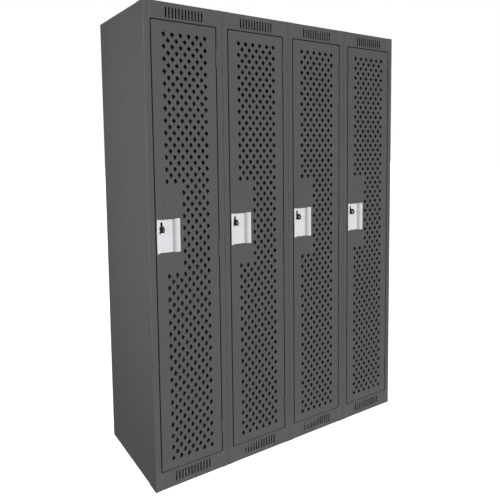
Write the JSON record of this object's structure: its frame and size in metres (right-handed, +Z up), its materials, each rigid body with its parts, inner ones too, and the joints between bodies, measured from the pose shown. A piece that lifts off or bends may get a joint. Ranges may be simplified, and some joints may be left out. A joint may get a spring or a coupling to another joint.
{
  "type": "locker cabinet",
  "caption": "Bank of steel lockers side by side, with perforated hinged doors, recessed pulls with padlock staples, vented rails, hat shelves and coat hooks.",
  "frame": {"origin": "under the middle of the overall box, on the floor; the box takes in the padlock staples that stand 18 mm out of the front", "axes": "+X to the right as seen from the front, +Y from the front to the back, +Z up"},
  "size_m": [1.221, 0.5514, 1.8288],
  "materials": {
    "charcoal_paint": "charcoal grey baked enamel, satin, faint orange peel",
    "pull_paint": "very light grey enamel, satin",
    "staple_paint": "dark charcoal enamel, rubbed by padlocks",
    "hinge_paint": "charcoal enamel, slightly worn on the knuckles",
    "pin_steel": "plain steel",
    "hook_steel": "zinc-plated steel strap",
    "bumper_rubber": "black rubber"
  },
  "bodies": {
    "cabinet": {"back_panel_1": "charcoal_paint", "back_panel_2": "charcoal_paint", "back_panel_3": "charcoal_paint", "back_panel_4": "charcoal_paint", "back_rivets": "charcoal_paint", "bottom_panel_1": "charcoal_paint", "bottom_panel_2": "charcoal_paint", "bottom_panel_3": "charcoal_paint", "bottom_panel_4": "charcoal_paint", "bottom_rail_1": "charcoal_paint", "bottom_rail_2": "charcoal_paint", "bottom_rail_3": "charcoal_paint", "bottom_rail_4": "charcoal_paint", "ceiling_hooks": "hook_steel", "door_bumpers": "bumper_rubber", "frame_hinge_leaves": "hinge_paint", "frame_rivets": "charcoal_paint", "frame_uprights_1": "charcoal_paint", "frame_uprights_2": "charcoal_paint", "frame_uprights_3": "charcoal_paint", "frame_uprights_4": "charcoal_paint", "hat_shelf_1": "charcoal_paint", "hat_shelf_2": "charcoal_paint", "hat_shelf_3": "charcoal_paint", "hat_shelf_4": "charcoal_paint", "hinge_pins": "pin_steel", "left_side_panel": "charcoal_paint", "padlock_staples": "staple_paint", "partition_1_2": "charcoal_paint", "partition_2_3": "charcoal_paint", "partition_3_4": "charcoal_paint", "right_side_panel": "charcoal_paint", "shelf_rivets": "charcoal_paint", "side_hooks": "hook_steel", "top_panel_1": "charcoal_paint", "top_panel_2": "charcoal_paint", "top_panel_3": "charcoal_paint", "top_panel_4": "charcoal_paint", "top_rail_1": "charcoal_paint", "top_rail_2": "charcoal_paint", "top_rail_3": "charcoal_paint", "top_rail_4": "charcoal_paint"},
    "door_1": {"door_panel_1": "charcoal_paint", "door_liner_1": "charcoal_paint", "latch_plate_1": "pull_paint", "door_hinge_leaves_1": "hinge_paint"},
    "door_2": {"door_panel_2": "charcoal_paint", "door_liner_2": "charcoal_paint", "latch_plate_2": "pull_paint", "door_hinge_leaves_2": "hinge_paint"},
    "door_3": {"door_panel_3": "charcoal_paint", "door_liner_3": "charcoal_paint", "latch_plate_3": "pull_paint", "door_hinge_leaves_3": "hinge_paint"},
    "door_4": {"door_panel_4": "charcoal_paint", "door_liner_4": "charcoal_paint", "latch_plate_4": "pull_paint", "door_hinge_leaves_4": "hinge_paint"}
  },
  "joints": [
    {"name": "door_1_hinge", "type": "hinge", "parent": "cabinet", "child": "door_1", "pos_m": [-0.3302, -0.2587, 0.91], "axis": [0, 0, 1], "range_deg": [0, 110]},
    {"name": "door_2_hinge", "type": "hinge", "parent": "cabinet", "child": "door_2", "pos_m": [-0.0254, -0.2587, 0.91], "axis": [0, 0, 1], "range_deg": [0, 110]},
    {"name": "door_3_hinge", "type": "hinge", "parent": "cabinet", "child": "door_3", "pos_m": [0.2794, -0.2587, 0.91], "axis": [0, 0, 1], "range_deg": [0, 110]},
    {"name": "door_4_hinge", "type": "hinge", "parent": "cabinet", "child": "door_4", "pos_m": [0.5842, -0.2587, 0.91], "axis": [0, 0, 1], "range_deg": [0, 110]}
  ]
}
